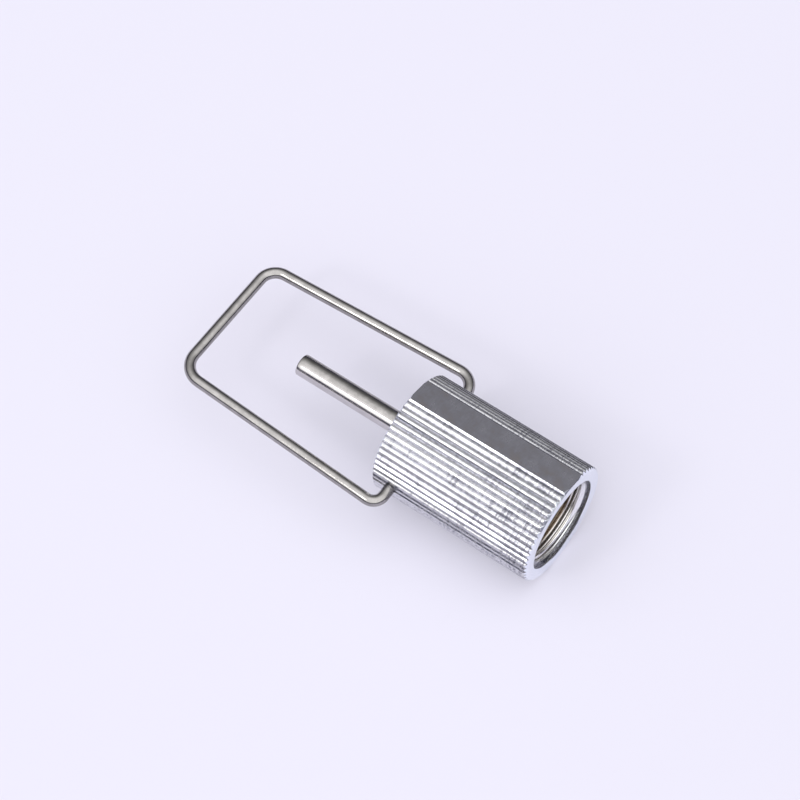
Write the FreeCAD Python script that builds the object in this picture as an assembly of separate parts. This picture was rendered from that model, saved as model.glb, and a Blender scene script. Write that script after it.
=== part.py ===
import FreeCAD, Part
import math
import os

# Ball-type cable lock lying on its side.
# Millimetres. The barrel's axis is X, its threaded mouth opens towards +X and the origin is the
# centre of the mouth's face. +Z is up. The wire bail swings about a line parallel to Y.

V = FreeCAD.Vector
AXIS = V(1, 0, 0)
ORIGIN = V(0, 0, 0)

# ---- barrel, outside -------------------------------------------------------------------------
BARREL_RADIUS = 8.0
BARREL_LENGTH = 22.8
MOUTH_CHAMFER = 0.3
PLUNGER_END_CHAMFER = 0.2
KNURL_TEETH = 57
KNURL_GROOVE_WIDTH = 0.36
KNURL_GROOVE_DEPTH = 0.2
KNURL_BOTTOM_GROOVE = 270.0     # degrees about X; the barrel lies on the teeth either side of it
KNURL_FREE_ANGLE = 12.0         # degrees either side of the flat's normal that have no groove
FLAT_DISTANCE = 7.72            # from the axis to the one long flat
FLAT_ANGLE = 75.0               # of the flat's normal, degrees about X from +Y

# ---- barrel, inside --------------------------------------------------------------------------
THREAD_MAJOR_RADIUS = 6.0       # M12 x 1
THREAD_PITCH = 1.0
THREAD_DEPTH = 0.541
THREAD_TURNS = 4
MOUTH_RECESS_RADIUS = 6.2       # plain lead-in ahead of the thread
MOUTH_RECESS_DEPTH = 0.5
RIM_CHAMFER = 0.08
THREAD_RELIEF_DEPTH = 5.4       # from the mouth to the bottom of the thread's relief
SEAT_RADIUS = 5.2               # bore that the retaining disc is pressed into
SHOULDER_DEPTH = 7.4            # from the mouth to the shoulder that the retaining disc sits on
CONE_HALF_ANGLE = 12.0
END_WALL = 4.4                  # closed end, between the plunger face and the small end of the cone
PLUNGER_BORE_RADIUS = 1.5

# ---- plunger ---------------------------------------------------------------------------------
PLUNGER_RADIUS = 1.45
CABLE_BORE_RADIUS = 1.0
CAGE_BORE_RADIUS = 1.25
PLUNGER_PROTRUSION = 16.6
PLUNGER_TIP_CHAMFER = 0.15
CAGE_GAP = 0.05                 # between the ball cage and the end wall at rest
CAGE_LENGTH = 5.35
CAGE_CONE_GAP = 0.15            # radial, between the cage and the cone
SOCKET_DEPTH = 1.45             # of the tube in the cage

# ---- balls -----------------------------------------------------------------------------------
BALL_RADIUS = 1.25
BALL_COUNT = 3
BALL_FROM_PLUNGER_FACE = 7.6
BALL_CENTRE_RADIUS = 1.55
BALL_GAP = 0.03                 # between a ball and the cone
BALL_HOLE_GAP = 0.05            # radial, between a ball and its hole in the cage
FIRST_BALL_ANGLE = 90.0

# ---- spring and retaining disc ---------------------------------------------------------------
SPRING_WIRE_RADIUS = 0.2
SPRING_MEAN_RADIUS = 2.6
SPRING_TURNS = 5
SPRING_END_GAP = 0.02
DISC_THICKNESS = 1.6
DISC_HOLE_RADIUS = 1.3
DISC_COUNTERSINK = 0.5

# ---- wire bail -------------------------------------------------------------------------------
WIRE_RADIUS = 0.75
BAIL_HOLE_RADIUS = 0.8
BAIL_HOLE_FLOOR = 4.8           # from the barrel's axis to the blind end of each cross hole
HOOK_TIP = 5.2                  # from the barrel's axis to the wire's end
PIVOT_FROM_PLUNGER_FACE = 2.75
BAIL_LENGTH = 31.2              # pivot line to the centreline of the far bar
BAIL_PIVOT_HALF_WIDTH = 10.85   # centreline, where the legs' lines meet the pivot line
BAIL_FAR_HALF_WIDTH = 9.35      # centreline, where the legs' lines meet the far bar
HOOK_BEND_RADIUS = 1.42
FAR_BEND_RADIUS = 2.9

# ---- worked out from the above ---------------------------------------------------------------
PLUNGER_FACE_X = -BARREL_LENGTH
BALL_X = PLUNGER_FACE_X + BALL_FROM_PLUNGER_FACE
CONE_SLOPE = math.tan(math.radians(CONE_HALF_ANGLE))
CONE_RADIUS_AT_BALL = BALL_CENTRE_RADIUS + (BALL_RADIUS + BALL_GAP) / math.cos(math.radians(CONE_HALF_ANGLE))
THREAD_MINOR_RADIUS = THREAD_MAJOR_RADIUS - THREAD_DEPTH
CAGE_FRONT_X = PLUNGER_FACE_X + END_WALL + CAGE_GAP
CAGE_BACK_X = CAGE_FRONT_X + CAGE_LENGTH
SHOULDER_X = -SHOULDER_DEPTH
DISC_FACE_X = SHOULDER_X + DISC_THICKNESS
PIVOT_X = PLUNGER_FACE_X + PIVOT_FROM_PLUNGER_FACE
BEYOND = 5.0                    # how far a cutting tool runs past the face that it cuts


def cone_radius(x):
    """Radius of the barrel's ball taper at x."""
    return CONE_RADIUS_AT_BALL + (x - BALL_X) * CONE_SLOPE


def turned(profile):
    """Solid of revolution about X from (x, radius) points."""
    points = [V(x, 0, radius) for x, radius in profile]
    face = Part.Face(Part.makePolygon(points + [points[0]]))
    return face.revolve(ORIGIN, AXIS, 360)


def about_axis(shape, degrees):
    """The shape turned about X, from +Y towards +Z."""
    copy = shape.copy()
    copy.rotate(ORIGIN, AXIS, degrees)
    return copy


# ---- barrel ----------------------------------------------------------------------------------
def knurl_outline():
    """Cross-section with straight knurling: flat crests between V grooves, none under the flat."""
    pitch = 2 * math.pi / KNURL_TEETH
    half_crest = pitch / 2 - KNURL_GROOVE_WIDTH / BARREL_RADIUS / 2
    start = math.radians(KNURL_BOTTOM_GROOVE) + pitch / 2
    root_radius = BARREL_RADIUS - KNURL_GROOVE_DEPTH
    points = []
    for tooth in range(KNURL_TEETH):
        centre = start + tooth * pitch
        corners = [(centre - half_crest, BARREL_RADIUS), (centre + half_crest, BARREL_RADIUS)]
        groove = centre + pitch / 2
        if math.cos(groove - math.radians(FLAT_ANGLE)) < math.cos(math.radians(KNURL_FREE_ANGLE)):
            corners.append((groove, root_radius))
        for angle, radius in corners:
            points.append(V(PLUNGER_FACE_X, radius * math.cos(angle), radius * math.sin(angle)))
    return Part.makePolygon(points + [points[0]])


def chamfered_envelope():
    """Plain round bar with both end chamfers, which the knurled bar is trimmed to."""
    return turned([
        (PLUNGER_FACE_X, 0),
        (PLUNGER_FACE_X, BARREL_RADIUS - PLUNGER_END_CHAMFER),
        (PLUNGER_FACE_X + PLUNGER_END_CHAMFER, BARREL_RADIUS),
        (-MOUTH_CHAMFER, BARREL_RADIUS),
        (0, BARREL_RADIUS - MOUTH_CHAMFER),
        (0, 0),
    ])


def thread_profile():
    """(x, radius) points of the mouth's 60 degree thread, drawn as rings, from the mouth inwards."""
    major_flat = THREAD_PITCH / 8
    minor_flat = THREAD_PITCH / 4
    flank = (THREAD_PITCH - major_flat - minor_flat) / 2
    points = [(-MOUTH_RECESS_DEPTH, THREAD_MAJOR_RADIUS)]
    x = -MOUTH_RECESS_DEPTH
    for _ in range(THREAD_TURNS):
        points.append((x - major_flat / 2, THREAD_MAJOR_RADIUS))
        points.append((x - major_flat / 2 - flank, THREAD_MINOR_RADIUS))
        points.append((x - major_flat / 2 - flank - minor_flat, THREAD_MINOR_RADIUS))
        points.append((x - THREAD_PITCH + major_flat / 2, THREAD_MAJOR_RADIUS))
        x -= THREAD_PITCH
    return points


def barrel_cavity():
    """Everything turned out of the barrel along its axis."""
    mouth = [
        (BEYOND, 0),
        (BEYOND, MOUTH_RECESS_RADIUS + RIM_CHAMFER + BEYOND),
        (-RIM_CHAMFER, MOUTH_RECESS_RADIUS),
        (-MOUTH_RECESS_DEPTH, MOUTH_RECESS_RADIUS),
    ]
    seat = [
        (-THREAD_RELIEF_DEPTH, THREAD_MAJOR_RADIUS),
        (-THREAD_RELIEF_DEPTH, SEAT_RADIUS),
        (SHOULDER_X, SEAT_RADIUS),
    ]
    taper = [
        (SHOULDER_X, cone_radius(SHOULDER_X)),
        (PLUNGER_FACE_X + END_WALL, cone_radius(PLUNGER_FACE_X + END_WALL)),
        (PLUNGER_FACE_X + END_WALL, PLUNGER_BORE_RADIUS),
        (PLUNGER_FACE_X - BEYOND, PLUNGER_BORE_RADIUS),
        (PLUNGER_FACE_X - BEYOND, 0),
    ]
    return turned(mouth + thread_profile() + seat + taper)


def flat_cutter():
    """Block whose lower face is the long flat, turned to the flat's angle."""
    block = Part.makeBox(
        BARREL_LENGTH + 2 * BEYOND, BEYOND, 2 * BARREL_RADIUS,
        V(PLUNGER_FACE_X - BEYOND, FLAT_DISTANCE, -BARREL_RADIUS),
    )
    return about_axis(block, FLAT_ANGLE)


def bail_hole(side):
    """Blind cross hole for one end of the bail; side is +1 or -1 along Y."""
    return Part.makeCylinder(
        BAIL_HOLE_RADIUS, BEYOND + BARREL_RADIUS - BAIL_HOLE_FLOOR,
        V(PIVOT_X, side * BAIL_HOLE_FLOOR, 0), V(0, side, 0),
    )


def barrel():
    bar = Part.Face(knurl_outline()).extrude(V(BARREL_LENGTH, 0, 0))
    bar = bar.common(chamfered_envelope())
    return bar.cut([barrel_cavity(), flat_cutter(), bail_hole(1), bail_hole(-1)])


# ---- plunger: tube and ball cage -------------------------------------------------------------
def plunger_tube():
    tip_x = PLUNGER_FACE_X - PLUNGER_PROTRUSION
    end_x = CAGE_FRONT_X + SOCKET_DEPTH
    return turned([
        (tip_x, CABLE_BORE_RADIUS + PLUNGER_TIP_CHAMFER),
        (tip_x, PLUNGER_RADIUS - PLUNGER_TIP_CHAMFER),
        (tip_x + PLUNGER_TIP_CHAMFER, PLUNGER_RADIUS),
        (end_x, PLUNGER_RADIUS),
        (end_x, CABLE_BORE_RADIUS),
        (tip_x + PLUNGER_TIP_CHAMFER, CABLE_BORE_RADIUS),
    ])


def ball_angles():
    return [FIRST_BALL_ANGLE + 360 * index / BALL_COUNT for index in range(BALL_COUNT)]


def ball_cage():
    """Conical head on the plunger's inner end, with a cross hole for each ball."""
    socket_x = CAGE_FRONT_X + SOCKET_DEPTH
    body = turned([
        (CAGE_FRONT_X, PLUNGER_RADIUS),
        (CAGE_FRONT_X, cone_radius(CAGE_FRONT_X) - CAGE_CONE_GAP),
        (CAGE_BACK_X, cone_radius(CAGE_BACK_X) - CAGE_CONE_GAP),
        (CAGE_BACK_X, CAGE_BORE_RADIUS),
        (socket_x, CAGE_BORE_RADIUS),
        (socket_x, PLUNGER_RADIUS),
    ])
    hole = Part.makeCylinder(BALL_RADIUS + BALL_HOLE_GAP, BEYOND, V(BALL_X, 0, 0), V(0, 1, 0))
    return body.cut([about_axis(hole, angle) for angle in ball_angles()])


def ball(angle):
    sphere = Part.makeSphere(BALL_RADIUS, V(BALL_X, BALL_CENTRE_RADIUS, 0))
    return about_axis(sphere, angle)


# ---- spring and retaining disc ---------------------------------------------------------------
def return_spring():
    """Compression spring between the cage's back and the retaining disc."""
    start_x = CAGE_BACK_X + SPRING_END_GAP + SPRING_WIRE_RADIUS
    end_x = SHOULDER_X - SPRING_END_GAP - SPRING_WIRE_RADIUS
    length = end_x - start_x
    helix = Part.makeHelix(length / SPRING_TURNS, length, SPRING_MEAN_RADIUS)
    section = Part.Wire(Part.makeCircle(SPRING_WIRE_RADIUS, V(SPRING_MEAN_RADIUS, 0, 0), V(0, 1, 0)))
    coil = Part.Wire(helix).makePipeShell([section], True, True)
    coil.rotate(ORIGIN, V(0, 1, 0), 90)
    coil.translate(V(start_x, 0, 0))
    return coil


def retaining_disc():
    """Disc pressed into its seat, which closes the spring chamber and lets the cable out."""
    return turned([
        (SHOULDER_X, DISC_HOLE_RADIUS),
        (SHOULDER_X, SEAT_RADIUS),
        (DISC_FACE_X, SEAT_RADIUS),
        (DISC_FACE_X, DISC_HOLE_RADIUS + DISC_COUNTERSINK),
        (DISC_FACE_X - DISC_COUNTERSINK, DISC_HOLE_RADIUS),
    ])


# ---- wire bail -------------------------------------------------------------------------------
def rounded_path(corners, radii):
    """Wire through corner points, each inner corner rounded to its radius."""
    edges = []
    start = corners[0]
    for before, corner, after, radius in zip(corners, corners[1:], corners[2:], radii):
        back = (before - corner).normalize()
        ahead = (after - corner).normalize()
        half_angle = back.getAngle(ahead) / 2
        reach = radius / math.tan(half_angle)
        middle = (back + ahead).normalize() * (radius / math.sin(half_angle) - radius)
        enter = corner + back * reach
        leave = corner + ahead * reach
        edges.append(Part.LineSegment(start, enter).toShape())
        edges.append(Part.Arc(enter, corner + middle, leave).toShape())
        start = leave
    edges.append(Part.LineSegment(start, corners[-1]).toShape())
    return Part.Wire(edges)


def wire_bail():
    """Bent wire frame: hook, leg, far bar, leg, hook, straight back from the pivot line."""
    far_x = PIVOT_X - BAIL_LENGTH
    corners = [
        V(PIVOT_X, -HOOK_TIP, 0),
        V(PIVOT_X, -BAIL_PIVOT_HALF_WIDTH, 0),
        V(far_x, -BAIL_FAR_HALF_WIDTH, 0),
        V(far_x, BAIL_FAR_HALF_WIDTH, 0),
        V(PIVOT_X, BAIL_PIVOT_HALF_WIDTH, 0),
        V(PIVOT_X, HOOK_TIP, 0),
    ]
    path = rounded_path(corners, [HOOK_BEND_RADIUS, FAR_BEND_RADIUS, FAR_BEND_RADIUS, HOOK_BEND_RADIUS])
    section = Part.Wire(Part.makeCircle(WIRE_RADIUS, corners[0], V(0, 1, 0)))
    return path.makePipeShell([section], True, False)


# ---- write every node ------------------------------------------------------------------------
def main():
    nodes = {
        "barrel": barrel(),
        "retaining_disc": retaining_disc(),
        "return_spring": return_spring(),
        "plunger_tube": plunger_tube(),
        "ball_cage": ball_cage(),
        "wire_bail": wire_bail(),
    }
    for number, angle in enumerate(ball_angles(), 1):
        nodes[f"ball_{number}"] = ball(angle)
    os.makedirs("parts", exist_ok=True)
    for name, shape in nodes.items():
        shape.exportStep(f"parts/{name}.step")
        print(f"{name}: {shape.Volume:.2f} mm3, {len(shape.Solids)} solid, valid {shape.isValid()}")


main()
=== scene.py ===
"""Ball-type cable lock: looks, floor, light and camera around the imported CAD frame."""

import math
import random

import bmesh
import bpy
from mathutils import Matrix, Vector, noise


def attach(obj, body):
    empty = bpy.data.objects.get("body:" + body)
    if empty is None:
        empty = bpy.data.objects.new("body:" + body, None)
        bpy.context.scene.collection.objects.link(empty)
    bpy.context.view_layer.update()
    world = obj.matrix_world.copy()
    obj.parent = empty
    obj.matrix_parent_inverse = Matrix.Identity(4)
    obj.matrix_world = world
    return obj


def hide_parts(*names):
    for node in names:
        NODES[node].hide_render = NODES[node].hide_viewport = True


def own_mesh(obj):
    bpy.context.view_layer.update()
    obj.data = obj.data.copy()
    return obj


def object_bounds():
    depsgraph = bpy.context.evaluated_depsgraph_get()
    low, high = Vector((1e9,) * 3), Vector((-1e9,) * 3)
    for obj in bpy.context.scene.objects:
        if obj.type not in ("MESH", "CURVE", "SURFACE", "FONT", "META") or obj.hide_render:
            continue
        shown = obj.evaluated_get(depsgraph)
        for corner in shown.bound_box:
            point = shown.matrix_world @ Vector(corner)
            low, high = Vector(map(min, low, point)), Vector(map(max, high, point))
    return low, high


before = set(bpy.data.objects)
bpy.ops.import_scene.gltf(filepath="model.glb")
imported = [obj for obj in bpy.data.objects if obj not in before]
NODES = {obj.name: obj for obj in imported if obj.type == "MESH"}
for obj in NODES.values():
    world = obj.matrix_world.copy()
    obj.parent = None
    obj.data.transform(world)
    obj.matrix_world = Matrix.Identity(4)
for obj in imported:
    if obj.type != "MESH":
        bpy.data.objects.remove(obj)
CAD_LOW, CAD_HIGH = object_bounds()
MM = 0.001
TURN = 2 * math.pi

# ---- sizes taken from the CAD, in millimetres ----------------------------------------------------
BARREL_RADIUS = 8.0
BARREL_LENGTH = 22.8
MOUTH_CHAMFER = 0.3
PLUNGER_END_CHAMFER = 0.2
KNURL_TEETH = 57
FLAT_DISTANCE = 7.72                # from the axis to the one long flat
FLAT_ANGLE = math.radians(75)       # of the flat's normal, about X from +Y
PLAIN_FLAT = math.radians(12)       # either side of the flat's normal, where no tooth was rolled
THREAD_MAJOR = 6.0
THREAD_DEPTH = 0.541
THREAD_PITCH = 1.0
THREAD_TURNS = 4
RECESS_RADIUS = 6.2                 # plain lead-in ahead of the thread
RECESS_DEPTH = 0.5
RIM_CHAMFER = 0.08
RELIEF_END = 5.4
SEAT_RADIUS = 5.2                   # bore that the retaining disc is pressed into
SHOULDER_DEPTH = 7.4                # from the mouth to the shoulder that the disc sits on
END_WALL = 4.4                      # closed end, between the plunger face and the cone
CONE_ANGLE = math.radians(12)
BALL_DEPTH = 15.2                   # from the mouth to the balls' centres
BALL_CENTRE_RADIUS = 1.55
BALL_AND_GAP = 1.28                 # a ball's radius and its gap to the cone
PLUNGER_BORE = 1.5
PLUNGER_RADIUS = 1.45
PLUNGER_TIP = -39.4
PLUNGER_INNER_END = -16.9
CABLE_BORE = 1.0
SPRING_ENDS = (-12.98, -7.42)
SPRING_RADIUS = 2.6
SPRING_WIRE = 0.2
SPRING_TURNS = 5
WIRE_RADIUS = 0.75
BAIL_HOLE_RADIUS = 0.8
BAIL_HOLE_FLOOR = 4.8               # from the barrel's axis to the blind end of each cross hole
HOOK_TIP = 5.2                      # from the barrel's axis to the wire's end
PIVOT_X = -20.05
PIVOT_HALF_WIDTH = 10.85
FAR_BAR_X = -51.25
FAR_HALF_WIDTH = 9.35

CONE_SLOPE = math.tan(CONE_ANGLE)
CONE_AT_BALL = BALL_CENTRE_RADIUS + BALL_AND_GAP / math.cos(CONE_ANGLE)
CONE_AT_SHOULDER = CONE_AT_BALL + (BALL_DEPTH - SHOULDER_DEPTH) * CONE_SLOPE
HALF_FLAT = math.acos(FLAT_DISTANCE / BARREL_RADIUS)

# ---- sizes of the looks alone, in millimetres ----------------------------------------------------
GROOVE_DEPTH = 0.225
KNURL_PHASE = math.radians(-1.9)    # from the flat's normal to the nearest groove's place
TOOTH_WANDER = 0.008
TUBE_DENT = 0.006
WIRE_DENT = 0.008
BACK_RIM_CHAMFER = 0.1              # round the plunger's bore
BAIL_CORNERS = [
    (PIVOT_X, -HOOK_TIP), (PIVOT_X, -PIVOT_HALF_WIDTH), (FAR_BAR_X, -FAR_HALF_WIDTH),
    (FAR_BAR_X, FAR_HALF_WIDTH), (PIVOT_X, PIVOT_HALF_WIDTH), (PIVOT_X, HOOK_TIP),
]
BAIL_BENDS = [1.42, 2.9, 2.3, 2.5]  # radius of each bend, from the near hook round to the far one


# ---- mesh helpers --------------------------------------------------------------------------------
SHARP_ANGLE = math.radians(35)      # edges sharper than this stay sharp


def polar(x, radius, angle):
    return (x * MM, radius * math.cos(angle) * MM, radius * math.sin(angle) * MM)


def face_of(bm, *verts):
    """A face through the different ones among verts, if there are at least three."""
    unique = []
    for v in verts:
        if v not in unique:
            unique.append(v)
    if len(unique) > 2:
        bm.faces.new(unique)


def join_loops(bm, first, second):
    """Quads between two closed loops of the same length."""
    for i in range(len(first)):
        k = (i + 1) % len(first)
        face_of(bm, first[i], first[k], second[k], second[i])


def zip_loops(bm, first, first_angles, second, second_angles):
    """Triangles between two closed loops that both start near angle 0 and go round once."""
    i = k = 0
    while i < len(first) or k < len(second):
        next_i = first_angles[i + 1] if i + 1 < len(first) else first_angles[0] + TURN
        next_k = second_angles[k + 1] if k + 1 < len(second) else second_angles[0] + TURN
        a, b = first[i % len(first)], second[k % len(second)]
        if k >= len(second) or (i < len(first) and next_i <= next_k):
            i += 1
            face_of(bm, a, first[i % len(first)], b)
        else:
            k += 1
            face_of(bm, a, second[k % len(second)], b)


def shade(mesh):
    mesh.polygons.foreach_set("use_smooth", [True] * len(mesh.polygons))
    mesh.set_sharp_from_angle(angle=SHARP_ANGLE)


def finish_mesh(bm, name):
    bmesh.ops.recalc_face_normals(bm, faces=bm.faces)
    mesh = bpy.data.meshes.new(name)
    bm.to_mesh(mesh)
    bm.free()
    obj = bpy.data.objects.new(name, mesh)
    bpy.context.scene.collection.objects.link(obj)
    shade(mesh)
    return obj


def cut(obj, cutters):
    """Takes the cutters out of obj's mesh, then removes them."""
    for cutter in cutters:
        modifier = obj.modifiers.new("cut", "BOOLEAN")
        modifier.operation = "DIFFERENCE"
        modifier.solver = "EXACT"
        modifier.object = cutter
    evaluated = obj.evaluated_get(bpy.context.evaluated_depsgraph_get())
    mesh = bpy.data.meshes.new_from_object(evaluated)
    obj.modifiers.clear()
    obj.data = mesh
    for cutter in cutters:
        bpy.data.objects.remove(cutter)
    shade(obj.data)


def smooth(low, high, value):
    t = min(1.0, max(0.0, (value - low) / (high - low)))
    return t * t * (3 - 2 * t)


# ---- barrel, outside -----------------------------------------------------------------------------
KNURL_PITCH = TURN / KNURL_TEETH
FIRST_CREST = FLAT_ANGLE + KNURL_PHASE + KNURL_PITCH / 2
# samples from a crest to the middle of the groove, in shares of the pitch
HALF_TOOTH = [0.03, 0.07, 0.11, 0.17, 0.23, 0.27, 0.31, 0.35, 0.39, 0.44]
TOOTH_SAMPLES = [0.0] + HALF_TOOTH + [0.5] + [1 - share for share in reversed(HALF_TOOTH)]
# extra samples at the edges of the flat, in degrees from its normal
FLAT_EDGE_SAMPLES = (-15.3, -14.6, -13.4, -12.7, -12.3, -12.01, -11.99, 11.99, 12.01, 13.4, 14.2, 14.8, 15.3)
# where a flank starts at the groove's middle and ends at the crest, in shares of the pitch
VALLEY_ROUNDING = (-0.01, 0.08)
CREST_ROUNDING = (0.29, 0.42)
FLANK_STEPS = 200
MOUTH_RINGS = [0, 0.04, 0.1, 0.15, 0.2, 0.26, 0.3, 0.34, 0.42]      # from the mouth's face
PLUNGER_END_RINGS = [0.24, 0.2, 0.16, 0.1, 0.05, 0]                 # from the plunger's face
BODY_END = 0.3                                                      # likewise, the last even ring
BODY_RINGS = 64

dice = random.Random(11)
GROOVE_SCALE = [dice.uniform(0.86, 1.0) for _ in range(KNURL_TEETH)]
GROOVE_SHIFT = [dice.uniform(-0.02, 0.02) for _ in range(KNURL_TEETH)]


def flank_table():
    """Depth of a groove, from 1 at its middle to 0 on the crest: straight flanks, rounded ends."""
    total, table = 0.0, []
    for i in range(FLANK_STEPS + 1):
        share = 0.5 * i / FLANK_STEPS
        table.append(total)
        total += smooth(*VALLEY_ROUNDING, share) * (1 - smooth(*CREST_ROUNDING, share))
    return [1 - value / table[-1] for value in table]


FLANK = flank_table()


def knurl_radius(x, angle):
    """Rolled teeth with straight flanks, each groove a little different from the next."""
    phase = (angle - FIRST_CREST) / KNURL_PITCH
    groove = math.floor(phase)
    share = phase - groove - 0.5
    number = groove % KNURL_TEETH
    depth = GROOVE_DEPTH * GROOVE_SCALE[number]
    share -= GROOVE_SHIFT[number] * math.cos(math.pi * share) ** 2
    wave = FLANK[min(FLANK_STEPS, round(abs(share) * 2 * FLANK_STEPS))]
    wander = TOOTH_WANDER * noise.noise(Vector((x * 0.8, number * 3.1, 0.0)))
    return BARREL_RADIUS - depth * wave - max(0.0, wander)


def outer_radius(x, angle):
    """Knurl, flat and both end chamfers together."""
    off = (angle - FLAT_ANGLE + math.pi) % TURN - math.pi
    body = knurl_radius(x, angle)
    if abs(off) < HALF_FLAT:
        plane = FLAT_DISTANCE / math.cos(off)
        body = plane if abs(off) < PLAIN_FLAT else min(plane, body)
    mouth_end = BARREL_RADIUS - MOUTH_CHAMFER - x
    plunger_end = BARREL_RADIUS - PLUNGER_END_CHAMFER + (x + BARREL_LENGTH)
    return min(body, mouth_end, plunger_end)


def outside_loops(bm):
    """The angles of the outside's columns, and its rings from the mouth to the plunger's face."""
    angles = {round((FIRST_CREST + (tooth + share) * KNURL_PITCH) % TURN, 6)
              for tooth in range(KNURL_TEETH) for share in TOOTH_SAMPLES}
    for degrees in FLAT_EDGE_SAMPLES:
        angles.add(round((FLAT_ANGLE + math.radians(degrees)) % TURN, 6))
    angles = sorted(angles)
    even_length = BARREL_LENGTH - MOUTH_RINGS[-1] - BODY_END
    xs = [-depth for depth in MOUTH_RINGS]
    xs += [-MOUTH_RINGS[-1] - even_length * i / BODY_RINGS for i in range(1, BODY_RINGS + 1)]
    xs += [-BARREL_LENGTH + depth for depth in PLUNGER_END_RINGS]
    loops = [[bm.verts.new(polar(x, outer_radius(x, a), a)) for a in angles] for x in xs]
    for first, second in zip(loops, loops[1:]):
        join_loops(bm, first, second)
    return angles, loops


# ---- barrel, inside ------------------------------------------------------------------------------
BORE_COLUMNS = 128
THREAD_ROWS = 14                    # per turn
THREAD_RUNOUT = 0.5                 # length over which the ridge fades out
HOLE_CUTTER_LENGTH = 6.0
HOLE_SIDES = 48
SAME_DEPTH = 1e-4


def thread_radius(depth, angle):
    phase = (depth - RECESS_DEPTH) / THREAD_PITCH + angle / TURN
    ridge = 0.5 - 0.5 * math.cos(TURN * phase)
    end = RECESS_DEPTH + THREAD_TURNS * THREAD_PITCH
    return THREAD_MAJOR - THREAD_DEPTH * ridge * smooth(0, THREAD_RUNOUT, end - depth)


def add_thread(bm, turn, start, end, last):
    """Helical grid between the loops start and end; its rows follow the ridge."""
    grid = []
    for i, a in enumerate(turn):
        column = []
        for j in range(THREAD_ROWS * (THREAD_TURNS + 1) + 1):
            depth = RECESS_DEPTH + (j / THREAD_ROWS - a / TURN) * THREAD_PITCH
            if depth <= RECESS_DEPTH + SAME_DEPTH:
                column.append(start[i])
            elif depth >= last - SAME_DEPTH:
                column.append(end[i])
            else:
                column.append(bm.verts.new(polar(-depth, thread_radius(depth, a), a)))
        grid.append(column)
    # once round, the first column again, one pitch further in
    grid.append([start[0]] * THREAD_ROWS + grid[0][:len(grid[0]) - THREAD_ROWS])
    for left, right in zip(grid, grid[1:]):
        for j in range(len(left) - 1):
            face_of(bm, left[j], right[j], right[j + 1], left[j + 1])


def inside_loops(bm, turn):
    """Rim, lead-in, thread, relief, seat, cone and plunger bore; returns the first and last loop."""
    def ring(depth, radius):
        return [bm.verts.new(polar(-depth, radius, a)) for a in turn]

    lead_in = [
        (0, RECESS_RADIUS + RIM_CHAMFER), (RIM_CHAMFER, RECESS_RADIUS), (0.2, RECESS_RADIUS),
        (0.35, RECESS_RADIUS), (RECESS_DEPTH, RECESS_RADIUS),
    ]
    front = [ring(depth, radius) for depth, radius in lead_in]
    start = [bm.verts.new(polar(-RECESS_DEPTH, thread_radius(RECESS_DEPTH, a), a)) for a in turn]
    front.append(start)
    for first, second in zip(front, front[1:]):
        join_loops(bm, first, second)

    last = RECESS_DEPTH + THREAD_TURNS * THREAD_PITCH
    end = ring(last, THREAD_MAJOR)
    add_thread(bm, turn, start, end, last)

    cone_end = BARREL_LENGTH - END_WALL
    cone_end_radius = CONE_AT_SHOULDER - (cone_end - SHOULDER_DEPTH) * CONE_SLOPE
    deep = [
        (RELIEF_END, THREAD_MAJOR), (RELIEF_END, SEAT_RADIUS), (SHOULDER_DEPTH, SEAT_RADIUS),
        (SHOULDER_DEPTH, CONE_AT_SHOULDER), (cone_end, cone_end_radius), (cone_end, PLUNGER_BORE),
        (BARREL_LENGTH - BACK_RIM_CHAMFER, PLUNGER_BORE), (BARREL_LENGTH, PLUNGER_BORE + BACK_RIM_CHAMFER),
    ]
    back = [end] + [ring(depth, radius) for depth, radius in deep]
    for first, second in zip(back, back[1:]):
        join_loops(bm, first, second)
    return front[0], back[-1]


def hole_cutter(side):
    """A rod along Y that leaves the cross hole on one side of the barrel."""
    bm = bmesh.new()
    centre = (PIVOT_X * MM, side * (BAIL_HOLE_FLOOR + HOLE_CUTTER_LENGTH / 2) * MM, 0)
    bmesh.ops.create_cone(
        bm, cap_ends=True, segments=HOLE_SIDES, radius1=BAIL_HOLE_RADIUS * MM,
        radius2=BAIL_HOLE_RADIUS * MM, depth=HOLE_CUTTER_LENGTH * MM,
        matrix=Matrix.Translation(centre) @ Matrix.Rotation(math.pi / 2, 4, "X"))
    return finish_mesh(bm, f"cutter{side}")


def build_barrel():
    bm = bmesh.new()
    turn = [TURN * i / BORE_COLUMNS for i in range(BORE_COLUMNS)]
    angles, outer = outside_loops(bm)
    rim, back_rim = inside_loops(bm, turn)
    zip_loops(bm, outer[0], angles, rim, turn)
    zip_loops(bm, outer[-1], angles, back_rim, turn)
    barrel = finish_mesh(bm, "barrel_body")
    cut(barrel, [hole_cutter(side) for side in (-1, 1)])
    return barrel


# ---- plunger tube, spring and bail ---------------------------------------------------------------
TUBE_SIDES = 80
TUBE_RINGS = 46
# distance from the tip and radius, over the rounded lip and back out of the bore
TUBE_LIP = [(0, 1.16), (0, 1.29), (0.03, 1.36), (0.09, 1.42), (0.18, PLUNGER_RADIUS)]
TUBE_BORE_EDGE = [(0.2, CABLE_BORE), (0.08, 1.05)]
DENTED_FROM = 1.4                   # only the outside wall has dents
SPRING_SIDES = 12
SPRING_STEPS = 40                   # per turn
WIRE_SIDES = 36
STRAIGHT_STEP = 0.9
BEND_STEPS = 14


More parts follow.
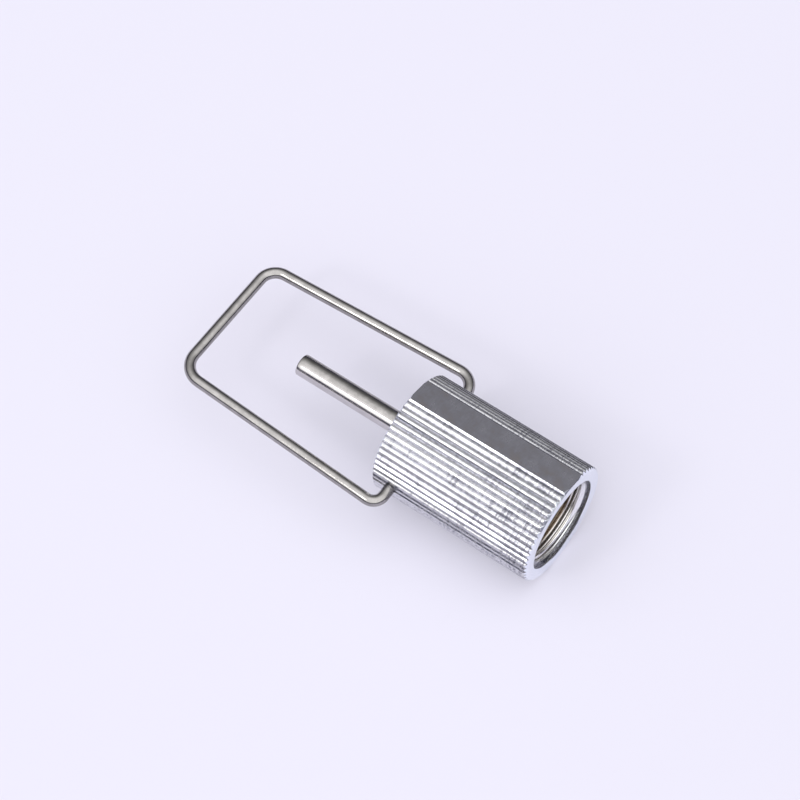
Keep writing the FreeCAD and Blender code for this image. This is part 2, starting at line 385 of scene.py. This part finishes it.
def build_plunger():
    bm = bmesh.new()
    wall_start = TUBE_LIP[-1][0]
    wall = PLUNGER_INNER_END - PLUNGER_TIP - wall_start
    profile = [(PLUNGER_TIP + along, radius) for along, radius in TUBE_LIP]
    profile += [(PLUNGER_TIP + wall_start + wall * i / TUBE_RINGS, PLUNGER_RADIUS)
                for i in range(1, TUBE_RINGS + 1)]
    profile.append((PLUNGER_INNER_END, CABLE_BORE))
    profile += [(PLUNGER_TIP + along, radius) for along, radius in TUBE_BORE_EDGE]
    loops = []
    for x, radius in profile:
        loop = []
        for i in range(TUBE_SIDES):
            a = TURN * i / TUBE_SIDES
            dent = 0.0
            if radius > DENTED_FROM:
                dent = TUBE_DENT * max(0.0, noise.noise(Vector((x * 1.3, a * 2.1, 7.0))) - 0.25)
            loop.append(bm.verts.new(polar(x, radius - dent, a)))
        loops.append(loop)
    for first, second in zip(loops, loops[1:] + loops[:1]):
        join_loops(bm, first, second)
    return finish_mesh(bm, "plunger_sleeve")


def build_spring():
    """Open helix between the cage and the disc; the real spring shortens as the plunger is pressed, but this
    mesh keeps one length.
    """
    bm = bmesh.new()
    first = SPRING_ENDS[0] + SPRING_WIRE
    run = SPRING_ENDS[1] - SPRING_WIRE - first
    steps = SPRING_STEPS * SPRING_TURNS
    loops = []
    for i in range(steps + 1):
        turn = TURN * SPRING_TURNS * i / steps
        out = Vector((0, math.sin(turn), -math.cos(turn)))
        centre = Vector((first + run * i / steps, 0, 0)) + out * SPRING_RADIUS
        loop = []
        for k in range(SPRING_SIDES):
            a = TURN * k / SPRING_SIDES
            place = centre + out * SPRING_WIRE * math.cos(a) + Vector((SPRING_WIRE * math.sin(a), 0, 0))
            loop.append(bm.verts.new(place * MM))
        loops.append(loop)
    for before, after in zip(loops, loops[1:]):
        join_loops(bm, before, after)
    for loop in (loops[0], loops[-1]):
        bm.faces.new(loop)
    return finish_mesh(bm, "spring_coil")


def bail_path():
    """Centreline points of the bent wire, in the XY plane."""
    corners = [Vector(c) for c in BAIL_CORNERS]
    points = []

    def straight(start, end):
        count = max(1, round((end - start).length / STRAIGHT_STEP))
        for i in range(count + 1):
            points.append(start.lerp(end, i / count))

    start = corners[0]
    for before, corner, after, radius in zip(corners, corners[1:], corners[2:], BAIL_BENDS):
        back, ahead = (before - corner).normalized(), (after - corner).normalized()
        half = back.angle(ahead) / 2
        reach = radius / math.tan(half)
        centre = corner + (back + ahead).normalized() * (radius / math.sin(half))
        enter, leave = corner + back * reach, corner + ahead * reach
        straight(start, enter)
        spoke = enter - centre
        swing = spoke.angle_signed(leave - centre)
        for i in range(1, BEND_STEPS):
            points.append(centre + Matrix.Rotation(-swing * i / BEND_STEPS, 2) @ spoke)
        start = leave
    straight(start, corners[-1])
    return points


def build_bail():
    bm = bmesh.new()
    points = bail_path()
    loops = []
    for i, p in enumerate(points):
        before, after = points[max(0, i - 1)], points[min(len(points) - 1, i + 1)]
        along = (after - before).normalized()
        side = Vector((-along.y, along.x))
        loop = []
        for k in range(WIRE_SIDES):
            a = TURN * k / WIRE_SIDES
            dent = WIRE_DENT * max(0.0, noise.noise(Vector((p.x * 0.8, p.y * 0.8, a))) - 0.3)
            radius = WIRE_RADIUS - dent
            offset = side * radius * math.cos(a)
            place = ((p.x + offset.x) * MM, (p.y + offset.y) * MM, radius * math.sin(a) * MM)
            loop.append(bm.verts.new(place))
        loops.append(loop)
    for first, second in zip(loops, loops[1:]):
        join_loops(bm, first, second)
    for loop in (loops[0], loops[-1]):
        bm.faces.new(loop)
    return finish_mesh(bm, "bail_wire")


# ---- materials -----------------------------------------------------------------------------------
class Nodes:
    """A little shorthand for shader trees."""

    def __init__(self, name):
        self.material = bpy.data.materials.new(name)
        self.material.use_nodes = True
        self.tree = self.material.node_tree
        self.bsdf = self.tree.nodes["Principled BSDF"]

    def node(self, kind, **inputs):
        """Each keyword is one of the node's sockets or, failing that, one of its settings."""
        n = self.tree.nodes.new(kind)
        for key, value in inputs.items():
            if key in n.inputs:
                self.put(n.inputs[key], value)
            else:
                setattr(n, key, value)
        return n

    def put(self, socket, value):
        if isinstance(value, bpy.types.NodeSocket):
            self.tree.links.new(value, socket)
        else:
            socket.default_value = value

    def math(self, operation, a, b=0.0):
        n = self.node("ShaderNodeMath", operation=operation)
        self.put(n.inputs[0], a)
        self.put(n.inputs[1], b)
        return n.outputs[0]

    def times(self, a, b):
        return self.math("MULTIPLY", a, b)

    def total(self, first, *others):
        """Sum of the values, added from left to right."""
        for other in others:
            first = self.math("ADD", first, other)
        return first

    def noise(self, vector, scale, detail=3.0, roughness=0.55):
        n = self.node("ShaderNodeTexNoise", Scale=scale, Detail=detail, Roughness=roughness)
        self.put(n.inputs["Vector"], vector)
        return n.outputs["Fac"]

    def stretched(self, *axes, detail=3.0, roughness=0.55):
        """Noise over two or three axes, each a coordinate and its own frequency."""
        n = self.node("ShaderNodeCombineXYZ")
        for socket, (coordinate, frequency) in zip(n.inputs, axes):
            self.put(socket, self.times(coordinate, frequency))
        return self.noise(n.outputs[0], 1.0, detail, roughness)

    def ramp(self, fac, *stops):
        """stops are (position, value or colour)."""
        n = self.node("ShaderNodeValToRGB", Fac=fac)
        ramp = n.color_ramp
        while len(ramp.elements) < len(stops):
            ramp.elements.new(0.5)
        for element, (position, value) in zip(ramp.elements, stops):
            element.position = position
            element.color = (*value, 1) if isinstance(value, tuple) else (value, value, value, 1)
        return n.outputs["Color"]

    def blend(self, factor, a, b, blend_type="MIX"):
        n = self.node("ShaderNodeMix", data_type="RGBA", blend_type=blend_type)
        self.put(n.inputs["Factor"], factor)
        self.put(n.inputs["A"], a)
        self.put(n.inputs["B"], b)
        return n.outputs["Result"]

    def bump(self, height, distance, strength):
        n = self.node("ShaderNodeBump", Strength=strength, Distance=distance * MM, Height=height)
        return n.outputs["Normal"]

    def surface(self, colour, roughness, normal=None, metallic=1.0):
        self.put(self.bsdf.inputs["Base Color"], colour)
        self.put(self.bsdf.inputs["Roughness"], roughness)
        self.put(self.bsdf.inputs["Metallic"], metallic)
        if normal is not None:
            self.put(self.bsdf.inputs["Normal"], normal)
        return self.material


class Metal(Nodes):
    """Shader tree with the piece's own coordinates in millimetres, and polar ones about X."""

    def __init__(self, name):
        super().__init__(name)
        scaled = self.node("ShaderNodeVectorMath", operation="SCALE", Scale=1 / MM)
        self.put(scaled.inputs[0], self.node("ShaderNodeTexCoord").outputs["Object"])
        self.place = scaled.outputs[0]
        self.x, self.y, self.z = self.node("ShaderNodeSeparateXYZ", Vector=self.place).outputs
        self.angle = self.math("ARCTAN2", self.z, self.y)

    def radius(self):
        return self.math("SQRT", self.total(self.times(self.y, self.y), self.times(self.z, self.z)))


WHITE = (1.0, 1.0, 1.0)


def knurl_chrome():
    """Chrome plate over rolled knurling: painted shade in the grooves, nicks in rows across the teeth.

    The crests past the flat, from about 9 to 63 degrees round from +Y, are painted darker than the others, a
    painted dark reflection.
    """
    n = Metal("knurl_chrome")
    across = n.times(n.angle, BARREL_RADIUS)
    row = n.stretched((n.x, 7.0), (across, 0.35), detail=2.0, roughness=0.5)
    chatter = n.stretched((n.x, 9.0), (across, 4.5), roughness=0.7)
    patches = n.stretched((n.x, 0.25), (across, 0.3), detail=2.0)
    grain = n.stretched((n.x, 5.0), (across, 8.0))
    toward_mouth = n.times(n.x, 0.004)
    nicks = n.ramp(
        n.total(n.times(row, 0.6), n.times(chatter, 0.6), n.times(patches, 0.25), toward_mouth),
        (0.71, 0.0), (0.77, 1.0))
    plated = n.ramp(nicks, (0.0, (0.69, 0.69, 0.715)), (1.0, (0.32, 0.32, 0.36)))
    height_up = n.math("SUBTRACT", n.radius(), BARREL_RADIUS - 1)   # 1 at the crests
    # painted shade: the groove roots and the foot of each flank are darkened in the colour
    groove_shade = n.ramp(height_up, (0.79, (0.30, 0.30, 0.36)), (0.85, WHITE))
    specks = n.ramp(grain, (0.40, 0.72), (0.50, 1.0))
    half_turns = n.times(n.angle, 1 / math.pi)
    # painted dark reflection: crests from about 9 to 63 degrees round from +Y get a darker colour
    shaded_strip = n.ramp(half_turns, (0.05, 0.0), (0.15, 1.0), (0.335, 1.0), (0.35, 0.0))
    # painted dark reflection: how much darker the crests are inside that band
    crest = n.ramp(height_up, (0.86, 0.90), (0.94, 0.46))
    colour = plated
    for layer in (groove_shade, specks, n.blend(shaded_strip, (*WHITE, 1), crest)):
        colour = n.blend(1.0, colour, layer, "MULTIPLY")
    roughness = n.ramp(patches, (0.3, 0.09), (0.7, 0.18))
    height = n.math("SUBTRACT", n.times(grain, 0.7), nicks)
    return n.surface(colour, roughness, n.bump(height, 0.016, 0.7))


def flat_chrome():
    """The milled flat: satin, with fine tool lines across it and faint brownish mottling."""
    n = Metal("flat_chrome")
    mottle = n.noise(n.place, 0.5, 5.0, 0.6)
    lines = n.stretched((n.x, 13.0), (n.y, 0.9))
    tone = n.total(n.times(mottle, 0.7), n.times(lines, 0.3))
    colour = n.ramp(
        tone, (0.38, (0.45, 0.425, 0.445)), (0.5, (0.48, 0.475, 0.535)), (0.62, (0.58, 0.575, 0.645)))
    roughness = n.ramp(mottle, (0.3, 0.34), (0.7, 0.26))
    return n.surface(colour, roughness, n.bump(lines, 0.005, 0.6))


def rim_chrome():
    """Turned and plated ring round the mouth, and the closed end; its colour is painted brighter than the
    knurl's chrome, a painted reflection of the bright overhead light.
    """
    n = Metal("rim_chrome")
    rings = n.stretched((n.radius(), 14.0), (n.angle, 0.4), detail=2.0)
    haze = n.noise(n.place, 0.8)
    # painted reflection: a lighter chrome colour than the knurl's, standing in for the overhead light the
    # ring catches
    colour = n.ramp(haze, (0.3, (0.84, 0.88, 0.95)), (0.7, (0.90, 0.93, 0.98)))
    roughness = n.ramp(haze, (0.3, 0.16), (0.7, 0.24))
    return n.surface(colour, roughness, n.bump(rings, 0.002, 0.5))


def bore_metal():
    """Inside of the mouth: lead-in painted dark and the band past it painted bright, painted reflections;
    bare and browner further in, darkened with depth as painted shade.
    """
    n = Metal("bore_metal")
    lines = n.stretched((n.x, 9.0), (n.angle, 0.6))
    specks = n.stretched((n.x, 7.0), (n.angle, 42.0), roughness=0.7)
    inward = n.total(n.times(n.x, -0.2), n.times(lines, 0.12))
    # painted dark reflection: the lead-in's colour is set dark, mottled by the specks
    lead_in = n.ramp(specks, (0.42, (0.16, 0.16, 0.18)), (0.60, (0.50, 0.50, 0.53)))
    # painted highlight on the band past the lead-in, then the bare metal's brown tint, darkening further in
    # as painted shade
    highlight_brass_and_shade = n.ramp(
        inward, (0.19, (0.92, 0.92, 0.93)), (0.42, (0.86, 0.84, 0.82)), (0.56, (0.32, 0.25, 0.19)),
        (0.90, (0.11, 0.09, 0.075)))
    past_lead_in = n.ramp(inward, (0.165, 0.0), (0.19, 1.0))
    colour = n.blend(past_lead_in, lead_in, highlight_brass_and_shade)
    roughness = n.ramp(specks, (0.3, 0.14), (0.7, 0.32))
    height = n.total(lines, n.times(specks, 0.5))
    return n.surface(colour, roughness, n.bump(height, 0.02, 0.6))


def drawn_nickel(name, along_bail):
    """Warm nickel with fine drawing lines, faint blotches and a few nicks.

    The plunger, unlike the bail, is painted brighter on its -Y side, a painted reflection of the floor.
    """
    n = Metal(name)
    blotch = n.noise(n.place, 0.9, 4.0, 0.6)
    nick = n.ramp(n.noise(n.place, 3.2, 2.0), (0.70, 0.0), (0.76, 1.0))
    colour = n.ramp(
        blotch, (0.3, (0.29, 0.278, 0.27)), (0.55, (0.35, 0.337, 0.328)), (0.75, (0.41, 0.395, 0.385)))
    if along_bail:
        drawn = n.stretched((n.x, 0.5), (n.y, 1.2), (n.z, 9.0))
    else:
        drawn = n.stretched((n.x, 0.5), (n.angle, 9.0))
        # painted reflection: the plunger's -Y side gets a lighter colour, standing in for the bright floor
        # it reflects
        floor_reflection_side = n.node("ShaderNodeMapRange", interpolation_type="SMOOTHSTEP")
        n.put(floor_reflection_side.inputs["Value"], n.y)
        n.put(floor_reflection_side.inputs["From Min"], -0.45)
        n.put(floor_reflection_side.inputs["From Max"], -1.15)
        bright = n.ramp(blotch, (0.3, (0.54, 0.52, 0.515)), (0.75, (0.64, 0.62, 0.615)))
        colour = n.blend(floor_reflection_side.outputs["Result"], colour, bright)
    roughness = n.ramp(drawn, (0.3, 0.09), (0.7, 0.18))
    height = n.math("SUBTRACT", n.times(drawn, 0.4), nick)
    return n.surface(colour, roughness, n.bump(height, 0.010, 0.6))


def turned_metal(name, colour_low, colour_high, roughness_low, roughness_high, line_scale=9.0):
    """Machined or drawn steel or brass with concentric lines about X."""
    n = Metal(name)
    lines = n.stretched((n.radius(), line_scale), (n.x, line_scale))
    haze = n.noise(n.place, 1.4, 4.0)
    colour = n.ramp(haze, (0.3, colour_low), (0.7, colour_high))
    roughness = n.ramp(lines, (0.3, roughness_low), (0.7, roughness_high))
    return n.surface(colour, roughness, n.bump(lines, 0.006, 0.5))


# ---- pieces --------------------------------------------------------------------------------------
KNURL_FINISH, FLAT_FINISH, RIM_FINISH, BORE_FINISH = range(4)
ON_FLAT = 0.003                     # a face's furthest centre from the flat's plane
IN_BORE = 0.02                      # the same past the lead-in's radius
END_MARGIN = 0.05                   # of the bore's finish before the plunger's face
FACES_ENDWAYS = 0.6                 # the least part of a face's normal that is along X


def paint_barrel(barrel):
    """Gives each face of the barrel the finish of the surface it belongs to."""
    for material in (knurl_chrome(), flat_chrome(), rim_chrome(), bore_metal()):
        barrel.data.materials.append(material)
    flat = Vector((0, math.cos(FLAT_ANGLE), math.sin(FLAT_ANGLE)))
    for polygon in barrel.data.polygons:
        centre = polygon.center / MM
        radius = math.hypot(centre.y, centre.z)
        if abs(centre.dot(flat) - FLAT_DISTANCE) < ON_FLAT and polygon.normal.dot(flat) > 0.999:
            index = FLAT_FINISH
        elif radius < RECESS_RADIUS + IN_BORE and -BARREL_LENGTH + END_MARGIN < centre.x < -RIM_CHAMFER:
            index = BORE_FINISH
        elif abs(polygon.normal.x) > FACES_ENDWAYS and radius < BARREL_RADIUS:
            index = RIM_FINISH
        else:
            index = KNURL_FINISH
        polygon.material_index = index


def paint(node, material):
    """Puts the material on a node that is shown as the CAD has it."""
    obj = NODES[node]
    for slot in obj.material_slots:
        slot.material = material
    if not obj.material_slots:
        obj.data.materials.append(material)


barrel = build_barrel()
paint_barrel(barrel)
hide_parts("barrel")
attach(barrel, "barrel")

plunger = build_plunger()
plunger.data.materials.append(drawn_nickel("plunger_nickel", False))
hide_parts("plunger_tube")
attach(plunger, "plunger")

bail = build_bail()
bail.data.materials.append(drawn_nickel("bail_nickel", True))
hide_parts("wire_bail")
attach(bail, "bail")

spring = build_spring()
spring.data.materials.append(
    turned_metal("spring_steel", (0.42, 0.42, 0.44), (0.56, 0.56, 0.58), 0.18, 0.34, 16.0))
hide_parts("return_spring")
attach(spring, "barrel")
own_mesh(spring)

# painted shade: the disc's brass is set much darker than the cage's, for its place deep in the bore
paint("retaining_disc", turned_metal("disc_brass_painted_shade", (0.26, 0.21, 0.16), (0.34, 0.28, 0.21), 0.24, 0.42))
paint("ball_cage", turned_metal("cage_brass", (0.58, 0.43, 0.22), (0.70, 0.54, 0.30), 0.20, 0.36))
ball_steel = turned_metal("ball_steel", (0.62, 0.62, 0.64), (0.74, 0.74, 0.76), 0.06, 0.12, 3.0)
for number in (1, 2, 3):
    paint(f"ball_{number}", ball_steel)


# ---- floor, light and camera, in metres ----------------------------------------------------------
FLOOR_HALF_SIZE = 1.5
SURROUND_AXIS = (0.4, -0.6, 1.0)    # towards the brightest part of the surround
SURROUND_REACH = 1.2                # the stops' positions run from minus to plus this
SURROUND_STOPS = [
    (-0.7, 0.07), (-0.06, 0.12), (0.14, 0.22), (0.40, 0.38), (0.62, 0.62), (0.74, 0.82), (1.0, 1.0),
]
SURROUND_TINT = (0.985, 0.985, 1.0)
SURROUND_STRENGTH = 1.9
BELOW_HORIZON = (0.05, 0.05, 0.075, 1)
HORIZON = (0.21, 0.36)              # height over which the surround comes in
KEY_SIZE = 0.16
KEY_ENERGY = 0.7
KEY_COLOUR = (1.0, 0.98, 0.96)
KEY_AIM = Vector((-0.02, 0, 0))
KEY_DIRECTION = Vector((-0.254, -0.713, 0.656))
KEY_DISTANCE = 0.8
CAMERA_AZIMUTH = math.radians(36.34)
CAMERA_ELEVATION = math.radians(59.64)
CAMERA_ROLL = math.radians(-0.876)
CAMERA_DISTANCE = 0.3333
CAMERA_AIM = Vector((-0.0003, 0.0029))  # from the middle of the CAD's box; its height is the axis's
CAMERA_LENS = 120.55
CAMERA_SENSOR = 36


def build_floor():
    bm = bmesh.new()
    bmesh.ops.create_grid(bm, x_segments=2, y_segments=2, size=FLOOR_HALF_SIZE)
    floor = finish_mesh(bm, "floor")
    floor.location.z = CAD_LOW.z
    n = Nodes("floor_paper")
    place = n.node("ShaderNodeTexCoord").outputs["Object"]
    colour = n.ramp(n.noise(place, 2.0, 2.0), (0.3, (0.515, 0.502, 0.585)), (0.7, (0.521, 0.508, 0.590)))
    n.surface(colour, 0.9, metallic=0.0)
    n.put(n.bsdf.inputs["Specular IOR Level"], 0.1)
    n.put(n.bsdf.inputs["Emission Color"], (0.93, 0.92, 1.0, 1))
    n.put(n.bsdf.inputs["Emission Strength"], 0.22)
    floor.data.materials.append(n.material)


def build_world():
    """Studio surround: a broad white ceiling that comes down in front, dim behind and low down."""
    world = bpy.data.worlds.new("studio")
    bpy.context.scene.world = world
    world.use_nodes = True
    tree = world.node_tree
    direction = tree.nodes.new("ShaderNodeTexCoord").outputs["Generated"]

    dot = tree.nodes.new("ShaderNodeVectorMath")
    dot.operation = "DOT_PRODUCT"
    dot.inputs[1].default_value = SURROUND_AXIS
    tree.links.new(direction, dot.inputs[0])
    spread = tree.nodes.new("ShaderNodeMapRange")
    spread.inputs["From Min"].default_value = -SURROUND_REACH
    spread.inputs["From Max"].default_value = SURROUND_REACH
    tree.links.new(dot.outputs["Value"], spread.inputs["Value"])
    ramp = tree.nodes.new("ShaderNodeValToRGB")
    while len(ramp.color_ramp.elements) < len(SURROUND_STOPS):
        ramp.color_ramp.elements.new(0.5)
    for element, (position, value) in zip(ramp.color_ramp.elements, SURROUND_STOPS):
        element.position = (position + SURROUND_REACH) / (2 * SURROUND_REACH)
        element.color = (*(value * share for share in SURROUND_TINT), 1)
    tree.links.new(spread.outputs["Result"], ramp.inputs["Fac"])

    split = tree.nodes.new("ShaderNodeSeparateXYZ")
    tree.links.new(direction, split.inputs[0])
    horizon = tree.nodes.new("ShaderNodeMapRange")
    horizon.interpolation_type = "SMOOTHSTEP"
    horizon.inputs["From Min"].default_value, horizon.inputs["From Max"].default_value = HORIZON
    tree.links.new(split.outputs["Z"], horizon.inputs["Value"])
    mix = tree.nodes.new("ShaderNodeMix")
    mix.data_type = "RGBA"
    mix.inputs["A"].default_value = BELOW_HORIZON
    tree.links.new(horizon.outputs["Result"], mix.inputs["Factor"])
    tree.links.new(ramp.outputs["Color"], mix.inputs["B"])

    background = tree.nodes["Background"]
    tree.links.new(mix.outputs["Result"], background.inputs["Color"])
    background.inputs["Strength"].default_value = SURROUND_STRENGTH


def build_key():
    light = bpy.data.lights.new("key", "AREA")
    light.shape = "DISK"
    light.size = KEY_SIZE
    light.energy = KEY_ENERGY
    light.color = KEY_COLOUR
    key = bpy.data.objects.new("key", light)
    bpy.context.scene.collection.objects.link(key)
    away = KEY_DIRECTION.normalized()
    key.location = KEY_AIM + away * KEY_DISTANCE
    key.rotation_mode = "QUATERNION"
    key.rotation_quaternion = away.to_track_quat("Z", "Y")


def build_camera():
    """The photograph's viewing angle; azimuth is counted from -Y towards +X."""
    centre = (CAD_LOW + CAD_HIGH) / 2
    target = Vector((centre.x + CAMERA_AIM.x, centre.y + CAMERA_AIM.y, 0.0))
    level = math.cos(CAMERA_ELEVATION)
    back = Vector((math.sin(CAMERA_AZIMUTH) * level, -math.cos(CAMERA_AZIMUTH) * level,
                   math.sin(CAMERA_ELEVATION)))
    right = Vector((math.cos(CAMERA_AZIMUTH), math.sin(CAMERA_AZIMUTH), 0))
    up = back.cross(right)
    camera_x = right * math.cos(CAMERA_ROLL) + up * math.sin(CAMERA_ROLL)
    camera_y = up * math.cos(CAMERA_ROLL) - right * math.sin(CAMERA_ROLL)
    camera = bpy.data.objects.new("camera", bpy.data.cameras.new("camera"))
    bpy.context.scene.collection.objects.link(camera)
    camera.data.sensor_width = CAMERA_SENSOR
    camera.data.lens = CAMERA_LENS
    camera.data.clip_start, camera.data.clip_end = 0.01, 10
    turn = Matrix((camera_x, camera_y, back)).transposed()
    camera.matrix_world = Matrix.Translation(target + back * CAMERA_DISTANCE) @ turn.to_4x4()
    bpy.context.scene.camera = camera


build_floor()
build_world()
build_key()
build_camera()
bpy.context.scene.view_settings.view_transform = "Standard"
